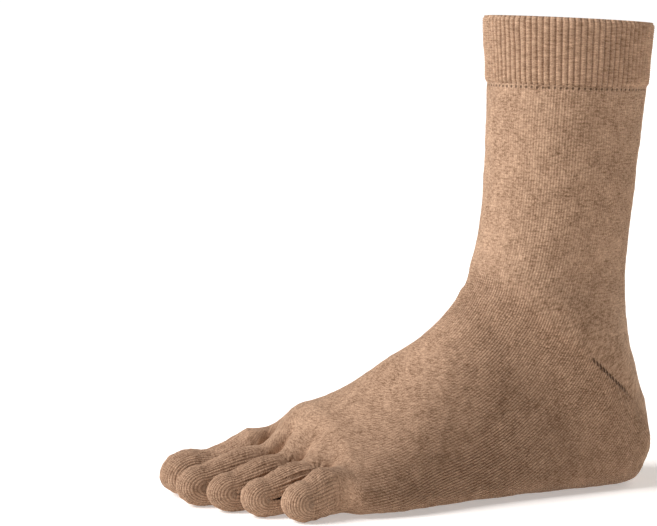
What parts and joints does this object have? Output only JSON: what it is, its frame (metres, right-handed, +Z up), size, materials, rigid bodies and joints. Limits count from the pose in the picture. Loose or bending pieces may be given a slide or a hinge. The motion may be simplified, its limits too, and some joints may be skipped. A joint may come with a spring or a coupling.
{
  "type": "toe sock",
  "caption": "Knitted toe sock for a left foot in its worn form: ribbed cuff, smooth leg, turned heel, foot and a separate pocket for each toe.",
  "frame": {"origin": "on the inside of the sole, below the ankle, where the wearer's heel stands", "axes": "+Z up along the leg; toes point to -X, the heel to +X; +Y is the big toe's side, -Y the little toe's side"},
  "size_m": [0.2522, 0.1011, 0.2396],
  "materials": {
    "cuff": "matt heather knit, 1x1 rib",
    "leg": "matt heather plain knit",
    "heel": "matt heather plain knit",
    "foot": "matt heather plain knit",
    "little_toe": "matt heather plain knit",
    "fourth_toe": "matt heather plain knit",
    "third_toe": "matt heather plain knit",
    "second_toe": "matt heather plain knit",
    "big_toe": "matt heather plain knit"
  },
  "bodies": {
    "root": {"cuff": "cuff", "leg": "leg", "heel": "heel", "foot": "foot", "little_toe": "little_toe", "fourth_toe": "fourth_toe", "third_toe": "third_toe", "second_toe": "second_toe", "big_toe": "big_toe"}
  },
  "joints": []
}
